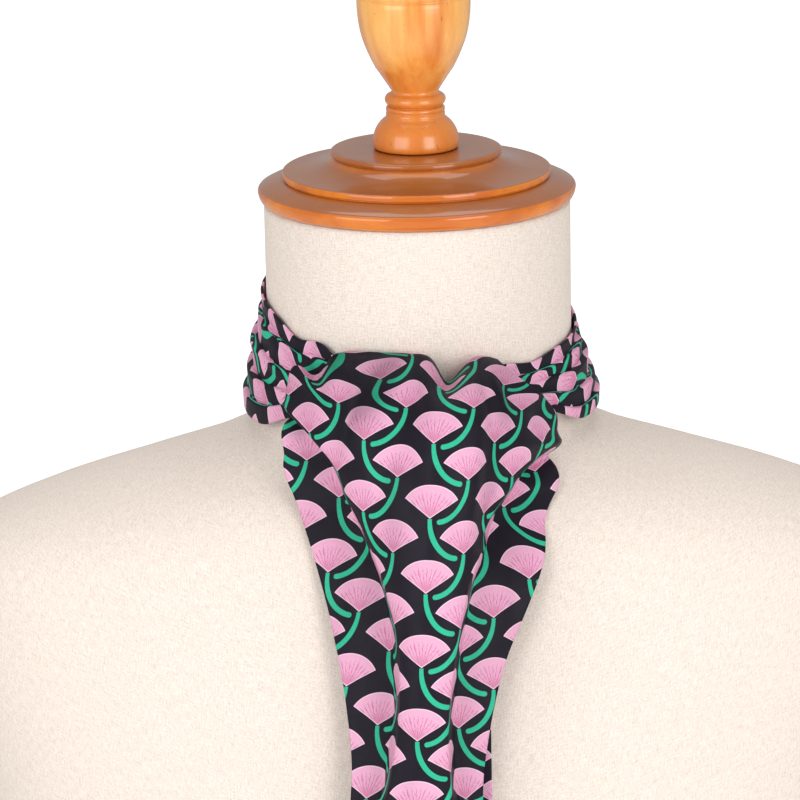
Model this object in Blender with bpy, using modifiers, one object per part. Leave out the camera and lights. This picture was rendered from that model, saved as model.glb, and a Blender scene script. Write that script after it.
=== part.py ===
"""Silk cravat tied round the neck of a linen dress form with a turned wooden cap.

The form stands on its flat base at z = 0 with its neck on the z axis and faces -Y. The
cravat is made of four stretches of cloth: the pleated band round the neck, the crossing in
front of the throat, the blade that hangs under it, and the front blade, which comes up
behind the crossing, rolls over it and falls as a puffed, V-folded front.
Tables are in millimetres and degrees. Cloth distances are measured on the cloth itself.
"""
from collections import namedtuple
import math

import bmesh
import bpy
import numpy as np

MM = 0.001

# Cloth
WALL = 1.2                   # thickness of every sheet
SEAM_GAP = 0.3               # between pieces that meet
LAYER_RADIUS = 1.7           # middle-surface radius of a pressed fold

# Neck and cap
NECK_RADIUS = 61.0
CAP_BOTTOM = 585.0
CAP_HEIGHT = 20.7
FINIAL_TOP = CAP_BOTTOM + 106.0

# The tilted ring that the cravat's top edge follows round the neck
RING_TOP = 542.0
RING_DROP_TO_FRONT = 8.5
RING_DROP_TO_RIGHT = 7.5
BAND_BOTTOM = 510.5          # lower edge of the band at the sides
BAND_BOTTOM_DROP = 2.5       # how much lower it lies at the throat
BAND_SIDE_DROP = 8.0         # and beyond the front blade
BAND_SNUG_RADIUS = NECK_RADIUS + 1.8      # middle surface where the band hugs the neck
BAND_LIFTED_RADIUS = NECK_RADIUS + 5.0    # and where the front blade rises behind it
SEAM_ANGLE = 26.0            # the band's two front ends, from the middle of the throat
CROSSING_DROP = 9.5          # the crossing's top edge, below the ring

# Front blade: where its cloth leaves the neck
ROLL_TOP = 538.0
ROLL_FRONT = 68.7            # distance of the roll's top in front of the neck axis
BLADE_TIP_HALF_WIDTH = 2.5

# Under blade: its middle surface in front of the form
UNDER_CLEARANCE = 1.7

FormSection = namedtuple("FormSection", "z half_width front back squareness")
FORM_SECTIONS = [
    FormSection(0, 156, 94, 96, 2.4),
    FormSection(60, 150, 92, 90, 2.4),
    FormSection(140, 137, 90, 82, 2.4),
    FormSection(220, 150, 96, 91, 2.4),
    FormSection(300, 170, 102, 102, 2.5),
    FormSection(345, 180, 102, 106, 2.5),
    FormSection(385, 189, 98, 106, 2.5),
    FormSection(416, 196, 93, 102, 2.5),
    FormSection(438, 196, 88, 96, 2.4),
    FormSection(452, 186, 84, 90, 2.3),
    FormSection(464, 160, 80, 85, 2.2),
    FormSection(475, 124, 75, 79, 2.1),
    FormSection(485, 90, 70, 73, 2.0),
    FormSection(495, 69, 65, 67, 2.0),
    FormSection(507, 62.6, 62.0, 62.8, 2.0),
    FormSection(526, NECK_RADIUS, NECK_RADIUS, NECK_RADIUS, 2.0),
    FormSection(CAP_BOTTOM - SEAM_GAP, NECK_RADIUS, NECK_RADIUS, NECK_RADIUS, 2.0),
]
FORM_SEGMENTS = 32
FORM_ROWS = 32

# Dents in the band's top edge: angle round the neck, depth, half width in degrees
Dent = namedtuple("Dent", "angle depth width")
RING_DENTS = [Dent(-50, 3.4, 9), Dent(-28, 6.0, 6), Dent(44, 2.0, 9)]

# Pleats of the band: share of its height where a layer's top edge lies, and how far the
# layer stands in front of the one above it
Pleat = namedtuple("Pleat", "share step wander phase")
PLEATS = [
    Pleat(0.20, 2.6, 0.020, 20),
    Pleat(0.42, 2.9, 0.030, 140),
    Pleat(0.63, 2.9, 0.025, 250),
    Pleat(0.84, 2.4, 0.020, 330),
]
PLEAT_RISE = 1.8             # height over which a step is made
PLEAT_LEAN = 0.060           # how much a layer leans back in over its height

# Front blade, down its middle line: tilt of the cloth from hanging straight down
# (180 rises, 90 lies level at the top of the roll), and how far its cross-section is
# tilted back, and where its middle line lies to the right of the neck axis
Drop = namedtuple("Drop", "down tilt section_tilt aside heading")
BLADE_DROP = [
    Drop(-14, 180, 0, 7.0, 6.4),
    Drop(-8.8, 178, 0, 7.0, 6.4),
    Drop(0, 90, 0, 7.0, 6.4),
    Drop(8, 73, 4, 6.9, 5),
    Drop(20, 57, 14, 6.2, 3),
    Drop(32, 42, 16, 5.2, 1),
    Drop(45, 27, 14, 4.2, 0),
    Drop(60, 19, 11, 3.1, -3),
    Drop(90, 13, 8, 0.9, -12),
    Drop(120, 9, 6, -1.3, -14),
    Drop(160, 4, 4, -4.2, -10),
    Drop(200, 0, 2, -5.4, 0),
    Drop(262, -2, 0, -5.4, 0),
]
# Each side of the front blade: half width of the cloth, where the panel breaks into its
# steep side, how wide that side is before the cloth lies outwards again, the radius of the
# break, the angle that the panel has swept back there, and how late (1 is a plain arc)
Side = namedtuple("Side", "down cloth fold flank radius sweep late")
BLADE_LEFT = [
    Side(-14, 30, 44, 12, 1.7, 39, 1.0),
    Side(0, 36, 50, 12, 1.7, 43, 1.0),
    Side(10, 55, 62, 12, 1.7, 46, 1.0),
    Side(16, 65, 70, 12, 1.8, 46, 1.0),
    Side(24, 71, 75, 14, 2.0, 46, 1.0),
    Side(34, 77, 75, 16, 2.4, 47, 1.0),
    Side(46, 82, 60, 13, 3.0, 46, 1.0),
    Side(59, 82, 45, 18, 3.2, 46, 1.0),
    Side(74, 76, 36, 19, 3.0, 46, 1.1),
    Side(88, 69, 28, 18, 2.6, 46, 1.1),
    Side(102, 62, 20, 18, 2.4, 44, 1.1),
    Side(114, 56.5, 14.5, 18, 2.2, 42, 1.1),
    Side(130, 50, 10.5, 17, 2.0, 38, 1.1),
    Side(150, 43, 9, 15, 2.0, 34, 1.1),
    Side(175, 37, 11.5, 12, 2.0, 30, 1.1),
    Side(192, 34.5, 15.5, 9, 2.0, 26, 1.2),
    Side(208, 31, 20, 6, 2.0, 20, 1.3),
    Side(222, 28, 24, 3, 2.0, 15, 1.3),
    Side(240, 19, 28, 0, 1.8, 10, 1.2),
    Side(262, BLADE_TIP_HALF_WIDTH, 34, 0, 1.7, 6, 1.0),
]
BLADE_RIGHT = [
    Side(-14, 21, 38, 12, 1.7, 35, 1.0),
    Side(0, 25, 38, 12, 1.7, 36, 1.0),
    Side(10, 38, 50, 12, 1.7, 42, 1.0),
    Side(22, 56, 64, 13, 1.7, 50, 1.0),
    Side(34, 78, 75, 16, 1.7, 62, 1.0),
    Side(43, 82, 75, 18, 1.8, 68, 1.0),
    Side(51, 82, 62, 19, 1.8, 68, 1.0),
    Side(59, 82, 48, 20, 1.8, 60, 1.0),
    Side(66, 80, 42, 20, 1.8, 54, 1.1),
    Side(74, 76, 36, 20, 1.8, 52, 1.1),
    Side(88, 69, 26, 19, 1.8, 50, 1.1),
    Side(102, 62, 18, 18, 1.8, 48, 1.1),
    Side(130, 50, 13.5, 17, 1.8, 40, 1.1),
    Side(150, 44, 12.5, 15, 1.8, 34, 1.1),
    Side(175, 38, 14, 12, 1.8, 30, 1.1),
    Side(192, 35, 17, 9, 1.8, 24, 1.2),
    Side(208, 32, 21, 6, 1.8, 18, 1.3),
    Side(222, 28.5, 25, 3, 1.8, 13, 1.2),
    Side(240, 19, 28, 0, 1.7, 9, 1.2),
    Side(262, BLADE_TIP_HALF_WIDTH, 34, 0, 1.7, 6, 1.0),
]
TURNED = 82.0                # direction of the cloth down the steep side
SIDE_LAY = 14.0              # how much the part beyond it lies back along the form
LEFT_TILT_SHARE = 0.45       # how much of a section's tilt each side follows
RIGHT_TILT_SHARE = 1.2
RESTING_CLEARANCE = 1.5      # of the sides over the form
UNDER_BLADE_CLEARANCE = 3.2  # and over the under blade there
RESTING_SOFTNESS = 2.4

# Swings turn the cloth about a line down the blade, where the panel breaks into a soft
# fold: place on the cloth, reach down and across it, and the turn
Swing = namedtuple("Swing", "across down length width turn")
LEFT_SWINGS = [
    Swing(6, 28, 46, 8, 42),
    Swing(22, 55, 18, 7, -18),
    Swing(37, 42, 22, 7, 22),
    Swing(58, 28, 13, 10, 22),
]
RIGHT_SWINGS = [
    Swing(7, 50, 20, 8, -9),
    Swing(22, 50, 40, 7.5, 46),
    Swing(22, 76, 14, 8, 20),
    Swing(31, 26, 13, 9, 18),
    Swing(51, 32, 13, 9, 26),
    Swing(8, 86, 18, 8, 18),
]

# Hollows in the blade's top line: place on the cloth (right is positive), depth, half
# widths to the left and right, and how far down the cloth they fade out
Hollow = namedtuple("Hollow", "across depth left_width right_width fade")
HOLLOWS = [
    Hollow(3.0, 11.0, 4.5, 7.5, 34),
    Hollow(-54.5, 9.5, 6.0, 10.5, 32),
    Hollow(44, 12.0, 20.0, 14.0, 34),
]
BLADE_COLUMNS_A_SIDE = 20
BLADE_ROWS = 43
COLUMN_SMOOTHING = 3

UNDER_DROP_START = 515.0     # height of the under blade's top edge
UNDER_LENGTH = 232.0
UNDER_FOLDED_WIDTH = 44.0    # the under blade is folded to this width
UNDER_POINT = 40.0           # length of its point
UNDER_COLUMNS = 8
UNDER_ROWS = 24

LINEN = ("linen", (0.80, 0.75, 0.68, 1), 0.9)
LACQUERED_WOOD = ("lacquered_wood", (0.46, 0.19, 0.06, 1), 0.25)
SILK = ("printed_silk", (0.06, 0.05, 0.08, 1), 0.55)


def along(table, name, places):
    """One column of a table at the given places, on a smooth curve with no overshoot."""
    at = np.array([row[0] for row in table], dtype=float)
    value = np.array([getattr(row, name) for row in table], dtype=float)
    step = np.diff(at)
    slope = np.diff(value) / step
    product = slope[:-1] * slope[1:]
    total = np.where(product > 0, slope[:-1] + slope[1:], 1.0)
    inner = np.where(product > 0, 2 * product / total, 0.0)
    tangent = np.concatenate([slope[:1], inner, slope[-1:]])
    places = np.clip(places, at[0], at[-1])
    k = np.clip(np.searchsorted(at, places, side="right") - 1, 0, len(step) - 1)
    t = (places - at[k]) / step[k]
    start = value[k] * (1 + 2 * t) * (1 - t) ** 2 + tangent[k] * step[k] * t * (1 - t) ** 2
    end = value[k + 1] * t * t * (3 - 2 * t) - tangent[k + 1] * step[k] * t * t * (1 - t)
    return start + end


def running_sum(values, places):
    """Integral of the values from the first place to each place (trapezium rule)."""
    steps = 0.5 * (values[1:] + values[:-1]) * np.diff(places)
    return np.concatenate([[0.0], np.cumsum(steps)])


def spread(places, density, count):
    """count + 1 places, closer together where the density is higher."""
    share = running_sum(density, places)
    return np.interp(np.linspace(0, share[-1], count + 1), share, places)


def ramp(x):
    """0 below 0, 1 above 1, with soft ends."""
    x = np.clip(x, 0.0, 1.0)
    return x * x * (3 - 2 * x)


def bell(x):
    """1 at 0, falling off softly on both sides."""
    return np.exp(-x * x)


def material(named):
    name, colour, roughness = named
    made = bpy.data.materials.get(name)
    if made is None:
        made = bpy.data.materials.new(name)
        made.use_nodes = True
        shader = made.node_tree.nodes["Principled BSDF"]
        shader.inputs["Base Color"].default_value = colour
        shader.inputs["Roughness"].default_value = roughness
        shader.inputs["Metallic"].default_value = 0.0
    return made


def add_object(name, mesh, finish, smooth_angle=math.radians(60)):
    part = bpy.data.objects.new(name, mesh)
    bpy.data.collections["silk_cravat_on_form"].objects.link(part)
    mesh.shade_smooth()
    mesh.set_sharp_from_angle(angle=smooth_angle)
    mesh.materials.append(material(finish))
    return part


def grid_mesh(name, points):
    """An open sheet through a (rows, columns, 3) array of points in millimetres."""
    rows, columns = points.shape[0] - 1, points.shape[1] - 1
    sheet = bmesh.new()
    bmesh.ops.create_grid(sheet, x_segments=columns, y_segments=rows, size=1.0)
    for vertex in sheet.verts:
        column = round((vertex.co.x + 1) / 2 * columns)
        row = round((vertex.co.y + 1) / 2 * rows)
        vertex.co = points[row, column] * MM
    mesh = bpy.data.meshes.new(name)
    sheet.to_mesh(mesh)
    sheet.free()
    return mesh


def cloth(name, points):
    """A sheet of cloth whose middle surface goes through the points."""
    part = add_object(name, grid_mesh(name, points), SILK)
    wall = part.modifiers.new("wall", "SOLIDIFY")
    wall.thickness = WALL * MM
    wall.offset = 0.0
    wall.use_quality_normals = True
    return part


def form_front(x, z):
    """Distance of the form's front surface in front of the neck axis, at x and z."""
    front = along(FORM_SECTIONS, "front", z)
    power = along(FORM_SECTIONS, "squareness", z)
    share = np.clip(np.abs(x) / along(FORM_SECTIONS, "half_width", z), 0, 1)
    return front * (1 - share ** power) ** (1 / power)


def make_form():
    """The dress form: a loft of rounded sections from the flat base to the neck's top."""
    z = np.linspace(FORM_SECTIONS[0].z, FORM_SECTIONS[-1].z, 1200)
    change = np.abs(np.gradient(along(FORM_SECTIONS, "half_width", z), z))
    shoulder_and_neck = (z > 440) & (z < 530)
    levels = spread(z, 0.010 + 0.012 * change + 0.12 * shoulder_and_neck, FORM_ROWS)
    turn = np.linspace(0, 2 * math.pi, FORM_SEGMENTS, endpoint=False)
    body = bmesh.new()
    rings = []
    for level in levels:
        power = 2 / along(FORM_SECTIONS, "squareness", level)
        depth = np.where(np.sin(turn) < 0, along(FORM_SECTIONS, "front", level),
                         along(FORM_SECTIONS, "back", level))
        x = along(FORM_SECTIONS, "half_width", level) * (
            np.sign(np.cos(turn)) * np.abs(np.cos(turn)) ** power)
        y = depth * np.sign(np.sin(turn)) * np.abs(np.sin(turn)) ** power
        rings.append([body.verts.new((a * MM, b * MM, level * MM)) for a, b in zip(x, y)])
    for lower, upper in zip(rings, rings[1:]):
        for k in range(FORM_SEGMENTS):
            after = (k + 1) % FORM_SEGMENTS
            body.faces.new((lower[k], lower[after], upper[after], upper[k]))
    body.faces.new(rings[-1])
    body.faces.new(rings[0][::-1])
    mesh = bpy.data.meshes.new("form_body")
    body.to_mesh(mesh)
    body.free()
    add_object("form_body", mesh, LINEN)


def arc(centre, radius, start, end, steps):
    """Points of an arc about (r, z), from one angle to another, 90 degrees being up."""
    return [(centre[0] + radius * math.cos(math.radians(start + (end - start) * k / steps)),
             centre[1] + radius * math.sin(math.radians(start + (end - start) * k / steps)))
            for k in range(steps + 1)]


def bend(start, corner, end, steps):
    """Points of a soft bend from start to end that heads for the corner."""
    points = []
    for k in range(steps + 1):
        t = k / steps
        points.append(tuple(a * (1 - t) ** 2 + 2 * b * t * (1 - t) + c * t * t
                            for a, b, c in zip(start, corner, end)))
    return points


def turned(name, profile, segments):
    """A solid turned from a profile of (radius, height) that runs from top to bottom."""
    mesh = bpy.data.meshes.new(name)
    points = [(r * MM, 0.0, z * MM) for r, z in profile]
    mesh.from_pydata(points, [(k, k + 1) for k in range(len(points) - 1)], [])
    part = add_object(name, mesh, LACQUERED_WOOD, math.radians(35))
    lathe = part.modifiers.new("lathe", "SCREW")
    lathe.steps = segments
    lathe.render_steps = segments
    lathe.use_merge_vertices = True
    lathe.merge_threshold = 0.00005
    lathe.use_normal_calculate = False
    return part


def make_cap():
    """The stepped cap: a rounded disc, a narrow second tier, a cove and a small disc."""
    base = CAP_BOTTOM
    profile = [(0, base + CAP_HEIGHT)]
    profile += arc((32.9, base + CAP_HEIGHT - 1.3), 1.3, 90, -90, 5)
    profile += bend((34.4, base + 16.8), (37, base + 13.2), (51.8, base + 12.6), 4)
    profile += arc((52.1, base + 11.2), 1.3, 90, -90, 5)
    profile += [(54.2, base + 9.4)]
    profile += arc((59.0, base + 4.3), 4.3, 80, -80, 8)
    profile += [(0, base)]
    turned("neck_cap", profile, 30)


def make_finial():
    """The finial: a vase-shaped bulb with a turned groove, rings and a domed foot."""
    foot = CAP_BOTTOM + CAP_HEIGHT + SEAM_GAP
    widest = CAP_BOTTOM + 82.0
    dome = FINIAL_TOP - widest
    profile = [(22.5 * math.sin(math.radians(a)), widest + dome * math.cos(math.radians(a)))
               for a in range(0, 86, 17)]
    profile += [(22.5, widest + 0.4), (21.9, widest), (22.5, widest - 0.6)]
    profile += [(21.9, widest - 10), (19.5, widest - 20), (15.6, widest - 29.5)]
    profile += bend((11.6, widest - 33.8), (9.0, widest - 35.6), (9.2, widest - 38.4), 3)
    profile += arc((9.7, widest - 41.6), 2.4, 80, -80, 5)
    profile += [(11.7, widest - 44.4), (11.7, widest - 46.0), (11.1, widest - 46.4)]
    profile += [(11.7, widest - 46.8), (11.7, widest - 48.6)]
    profile += bend((12.4, widest - 49.2), (16.9, widest - 52.0), (17.2, foot + 2.2), 4)
    profile += [(16.6, foot), (0, foot)]
    turned("finial", profile, 24)


def ring_top(angle):
    """Height of the cravat's top ring; 0 is the throat and 90 the viewer's right."""
    a = np.radians(angle)
    height = RING_TOP - RING_DROP_TO_FRONT * np.cos(a) - RING_DROP_TO_RIGHT * np.sin(a)
    for dent in RING_DENTS:
        away = (angle - dent.angle + 180.0) % 360.0 - 180.0
        height = height - dent.depth * bell(away / dent.width)
    return height


def band_points(start, end, columns, rows, drop):
    """Middle surface of a pleated stretch round the neck between two angles.

    At each angle a = start..end the section goes down from the ring, and its radius is
    r(s) = r0(a) + full(a) * sum(step * ramp((s - s_k(a)) / rise)) - lean * s. The pleats are
    uneven, because s_k(a) wanders a little round the neck, and flatter at the throat.
    """
    points = np.zeros((rows + 1, columns + 1, 3))
    for column, angle in enumerate(np.linspace(start, end, columns + 1)):
        a = math.radians(angle)
        top = ring_top(angle) - drop
        from_throat = abs((angle + 180.0) % 360.0 - 180.0)
        height = top - BAND_BOTTOM + BAND_BOTTOM_DROP * math.cos(a) + BAND_SIDE_DROP * ramp(
            (from_throat - 44) / 22)
        places = np.linspace(0, height, 400)
        lifted = 1 - ramp((from_throat - 19) / 24)
        fullness = 0.5 + 0.5 * ramp((from_throat - 35) / 40)
        radius = BAND_SNUG_RADIUS + (BAND_LIFTED_RADIUS - BAND_SNUG_RADIUS) * lifted
        out = radius - PLEAT_LEAN * places
        density = np.full_like(places, 0.14)
        for pleat in PLEATS:
            wave = pleat.wander * math.sin(math.radians(2 * angle + pleat.phase))
            edge = (pleat.share + wave) * height
            out = out + fullness * pleat.step * ramp((places - edge) / PLEAT_RISE)
            density = density + 1.6 * (np.abs(places - edge - PLEAT_RISE / 2) < PLEAT_RISE)
        down = spread(places, density, rows)
        out = np.interp(down, places, out)
        points[:, column, 0] = out * math.sin(a)
        points[:, column, 1] = -out * math.cos(a)
        points[:, column, 2] = top - down
    return points


def make_neck_band():
    """The band from the throat's right, round the back of the neck, to its left."""
    cloth("neck_band", band_points(SEAM_ANGLE, 360 - SEAM_ANGLE, 40, 15, 0.0)[:, ::-1])


def make_crossing():
    """The crossing in front of the throat, between the band's two ends."""
    end = SEAM_ANGLE - math.degrees(SEAM_GAP * 1.8 / NECK_RADIUS)
    cloth("crossing", band_points(-end, end, 9, 13, CROSSING_DROP)[:, ::-1])


def half_section(side_table, swings, down, heading):
    """Half a cross-section of a folded blade, from its middle line outwards.

    The cloth's direction turns with its distance s from the middle line:
    t(s) = heading + sweep * (s / fold) ^ late + swings, then up to TURNED over the fold's
    arc and back to SIDE_LAY beyond the flank. The section is the integral of (cos t, sin t).
    Returns the distances on the cloth, how far they lie outwards and back, and how closely
    the mesh follows the cloth there.
    """
    value = {name: float(along(side_table, name, down)) for name in Side._fields[1:]}
    radians = math.radians
    s = np.linspace(0, value["cloth"], 900)
    swept = value["sweep"] + heading
    first_start = value["fold"] - radians(90 - swept) * value["radius"]
    first_length = radians(TURNED - swept) * value["radius"]
    second_length = radians(TURNED - SIDE_LAY) * LAYER_RADIUS
    second_start = value["fold"] + value["flank"] - second_length / 2
    direction = heading + value["sweep"] * np.clip(s / first_start, 0, 1) ** value["late"]
    first = np.clip((s - first_start) / first_length, 0, 1)
    second = np.clip((s - second_start) / second_length, 0, 1)
    hanging = ramp((down + 9) / 15)
    for swing in swings:
        direction = direction + hanging * (1 - first) * swing.turn * bell(
            (s - swing.across) / swing.width) * bell((down - swing.down) / swing.length)
    direction = direction + (TURNED - swept) * first - (TURNED - SIDE_LAY) * second
    t = np.radians(direction)
    outwards = running_sum(np.cos(t), s)
    back = running_sum(np.sin(t), s)
    return s, outwards, back, np.abs(np.gradient(direction, s)) / 40.0 + 1 / 8.0


def half_sheet(side_table, swings, downs, headings, columns):
    """Half of a folded blade: its rows' distances on the cloth, outwards and back.

    Neighbouring rows place their columns alike, so that the mesh runs along the folds.
    """
    sections = [half_section(side_table, swings, v, heading)
                for v, heading in zip(downs, headings)]
    chosen = np.array([spread(s, density, columns) / s[-1] for s, _, _, density in sections])
    for _ in range(COLUMN_SMOOTHING):
        chosen[1:-1] = (chosen[:-2] + 2 * chosen[1:-1] + chosen[2:]) / 4
    sheet = np.zeros((3, len(downs), columns + 1))
    for row, (s, outwards, back, _) in enumerate(sections):
        at = chosen[row] * s[-1]
        sheet[:, row] = at, np.interp(at, s, outwards), np.interp(at, s, back)
    return sheet


def join_halves(left, right):
    """Both halves of a blade as (across, out, back), from the left edge to the right."""
    mirror = np.array([-1, -1, 1])[:, None, None]
    return np.concatenate([mirror * left[:, :, :0:-1], right], axis=2)


def hollow_depth(across, down):
    """How much lower the blade's top line lies at a place on the cloth."""
    depth = 0.0
    for hollow in HOLLOWS:
        away = across - hollow.across
        width = np.where(away < 0, hollow.left_width, hollow.right_width)
        fading = 1 - ramp(down / hollow.fade)
        depth = depth + hollow.depth * bell(away / width) * fading
    return depth


def rest_on_form(x, y, z):
    """The depth y, held off the form's front: with d the distance to spare, it becomes
    (d + sqrt(d * d + k * k)) / 2, so that the cloth lies on the form and never enters it."""
    over_under_blade = 1 - ramp((np.abs(x) - UNDER_FOLDED_WIDTH / 2 - 1) / 8)
    rest = form_front(x, z) + RESTING_CLEARANCE + UNDER_BLADE_CLEARANCE * over_under_blade
    spare = -y - rest
    return -rest - (spare + np.sqrt(spare ** 2 + RESTING_SOFTNESS ** 2)) / 2


def blade_middle_line(rows):
    """Distances down the front blade and the (forward, height) of its middle line."""
    v = np.linspace(BLADE_DROP[0].down, BLADE_DROP[-1].down, 3000)
    tilt = along(BLADE_DROP, "tilt", v)
    forward = running_sum(np.sin(np.radians(tilt)), v)
    fall = running_sum(np.cos(np.radians(tilt)), v)
    forward += ROLL_FRONT - np.interp(0.0, v, forward)
    height = ROLL_TOP + np.interp(0.0, v, fall) - fall
    density = np.abs(np.gradient(tilt, v)) / 20.0 + 1 / 8.0 + (np.abs(v - 45) < 20) / 15.0
    chosen = spread(v, density, rows)
    return chosen, np.interp(chosen, v, forward), np.interp(chosen, v, height)


def make_front_blade():
    """The front blade: up behind the crossing, over the roll and down to its point."""
    down, forward, height = blade_middle_line(BLADE_ROWS)
    heading = along(BLADE_DROP, "heading", down)
    left = half_sheet(BLADE_LEFT, LEFT_SWINGS, down, -heading, BLADE_COLUMNS_A_SIDE)
    right = half_sheet(BLADE_RIGHT, RIGHT_SWINGS, down, heading, BLADE_COLUMNS_A_SIDE)
    across, out, back = join_halves(left, right)
    tilt = np.radians(along(BLADE_DROP, "section_tilt", down))[:, None]
    tilt = tilt * np.where(across < 0, LEFT_TILT_SHARE, RIGHT_TILT_SHARE)
    x = along(BLADE_DROP, "aside", down)[:, None] + out
    y = -forward[:, None] + back * np.cos(tilt)
    z = height[:, None] - back * np.sin(tilt) - hollow_depth(across, down[:, None])
    hanging = ramp((down[:, None] - 20) / 20)
    y = y + hanging * (rest_on_form(x, y, z) - y)
    cloth("front_blade", np.stack([x, y, z], axis=-1)[::-1])


def make_under_blade():
    """The under blade: a folded strip with a pointed end, lying down the form's front."""
    levels = np.linspace(UNDER_DROP_START, UNDER_DROP_START - UNDER_LENGTH, 1200)
    depth = form_front(np.zeros_like(levels), levels) + UNDER_CLEARANCE
    length = running_sum(np.hypot(1.0, np.gradient(depth, levels)), -levels)
    down = np.linspace(0, UNDER_LENGTH, UNDER_ROWS + 1)
    narrow_end = np.clip((UNDER_LENGTH - down) / UNDER_POINT, 0.0, 1.0)
    half_width = np.minimum(UNDER_FOLDED_WIDTH / 2 * narrow_end + BLADE_TIP_HALF_WIDTH,
                            20 + 5 * ramp(down / 40))
    x = half_width[:, None] * np.linspace(-1, 1, UNDER_COLUMNS + 1)
    z = np.interp(down, length, levels)[:, None] + 0 * x
    y = -form_front(x, z) - UNDER_CLEARANCE
    cloth("under_blade", np.stack([x, y, z], axis=-1)[::-1])


def main():
    for old in list(bpy.data.objects):
        bpy.data.objects.remove(old)
    collection = bpy.data.collections.new("silk_cravat_on_form")
    bpy.context.scene.collection.children.link(collection)
    make_form()
    make_cap()
    make_finial()
    make_neck_band()
    make_crossing()
    make_under_blade()
    make_front_blade()


main()
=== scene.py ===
"""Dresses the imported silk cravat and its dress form: cloth, linen, turned wood, light, camera.

Every surface is worked out with numpy from named sizes in millimetres and degrees, in the
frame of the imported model: the form stands at z = 0 with its neck on the z axis and faces -Y.
"""
from collections import namedtuple
from math import cos, degrees, pi, radians, sin

import bmesh
import bpy
import numpy as np
from mathutils import Matrix, Vector


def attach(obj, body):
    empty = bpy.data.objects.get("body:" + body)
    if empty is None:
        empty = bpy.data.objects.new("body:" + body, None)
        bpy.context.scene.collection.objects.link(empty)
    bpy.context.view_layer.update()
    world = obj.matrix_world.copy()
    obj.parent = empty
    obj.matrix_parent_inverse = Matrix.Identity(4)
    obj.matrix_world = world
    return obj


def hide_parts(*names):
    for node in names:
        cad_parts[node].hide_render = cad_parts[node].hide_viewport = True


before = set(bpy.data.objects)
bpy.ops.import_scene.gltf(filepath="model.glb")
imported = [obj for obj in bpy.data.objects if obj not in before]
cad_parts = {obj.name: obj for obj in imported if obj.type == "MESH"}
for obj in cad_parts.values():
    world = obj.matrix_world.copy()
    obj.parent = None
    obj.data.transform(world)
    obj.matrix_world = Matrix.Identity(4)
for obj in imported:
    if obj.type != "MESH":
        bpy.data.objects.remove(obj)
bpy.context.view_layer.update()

MM = 0.001
SILK_THICKNESS = 0.9
LAYER_RADIUS = 1.7  # middle-surface radius of a pressed fold


def table(kind, rows):
    """A list of rows with named columns."""
    return [kind(*row) for row in rows]


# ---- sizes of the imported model
NECK_RADIUS = 61.0
CAP_BOTTOM = 585.0
CAP_HEIGHT = 20.7
CAP_SEAT_GAP = 0.3
FINIAL_TOP = CAP_BOTTOM + 106.0

RING_TOP = 542.0
RING_DROP_TO_FRONT = 8.5
RING_DROP_TO_RIGHT = 7.5
BAND_BOTTOM = 510.5
BAND_BOTTOM_DROP = 2.5
BAND_SIDE_DROP = 8.0  # how much lower it lies beyond the front blade
BAND_SNUG_RADIUS = NECK_RADIUS + 1.8
BAND_LIFTED_RADIUS = NECK_RADIUS + 5.0
SEAM_ANGLE = 26.0
CROSSING_DROP = 9.5
ROLL_TOP = 538.0
ROLL_FRONT = 68.7
ROLL_CROWD = 1.2  # how much closer the blade's rows lie on the roll
BLADE_TIP_HALF_WIDTH = 2.5
UNDER_CLEARANCE = 1.7
UNDER_DROP_START = 515.0
UNDER_LENGTH = 232.0
UNDER_FOLDED_WIDTH = 44.0
UNDER_POINT = 40.0
UNDER_TOP_HALF_WIDTH = 20.0
UNDER_WIDENING = 5.0
UNDER_PRINT_START = 30.0
RESTING_CLEARANCE = 1.5  # of the front blade's sides over the form
UNDER_BLADE_CLEARANCE = 3.2  # and over the under blade there
RESTING_SOFTNESS = 2.4
DEEP_VALLEY = 2.6  # depth of a crease whose valley gets the full painted shade
ROLL_PAINTED_SHADE = 0.5  # share of the full painted shade that lies on the cloth near the roll's top

# How finely the meshes follow their surfaces
FINE_SAMPLES = 4000
BLADE_SAMPLES = 6000
SECTION_SAMPLES = 800
STRIP_SAMPLES = 1200
COLUMN_SMOOTHING = 10
FORM_RINGS, FORM_COLUMNS, CORNER_RINGS = 150, 160, 4
BAND_COLUMNS, BAND_ROWS = 300, 84
CROSSING_COLUMNS, CROSSING_ROWS = 60, 50
BLADE_ROWS, LEFT_COLUMNS, RIGHT_COLUMNS = 230, 76, 70
UNDER_ROWS, UNDER_COLUMNS = 130, 48

FormSection = namedtuple("FormSection", "z half_width front back squareness")
FORM_SECTIONS = table(FormSection, [
    (0, 156, 94, 96, 2.4),
    (60, 150, 92, 90, 2.4),
    (140, 137, 90, 82, 2.4),
    (220, 150, 96, 91, 2.4),
    (300, 170, 102, 102, 2.5),
    (345, 180, 102, 106, 2.5),
    (385, 189, 98, 106, 2.5),
    (416, 196, 93, 102, 2.5),
    (438, 196, 88, 96, 2.4),
    (452, 186, 84, 90, 2.3),
    (464, 160, 80, 85, 2.2),
    (475, 124, 75, 79, 2.1),
    (485, 90, 70, 73, 2),
    (495, 69, 65, 67, 2),
    (507, 62.6, 62, 62.8, 2),
    (526, NECK_RADIUS, NECK_RADIUS, NECK_RADIUS, 2),
    (CAP_BOTTOM - CAP_SEAT_GAP, NECK_RADIUS, NECK_RADIUS, NECK_RADIUS, 2.0),
])

Dent = namedtuple("Dent", "angle depth width")
RING_DENTS = [Dent(-50, 3.4, 9), Dent(-28, 6.0, 6), Dent(44, 2.0, 9)]

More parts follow.
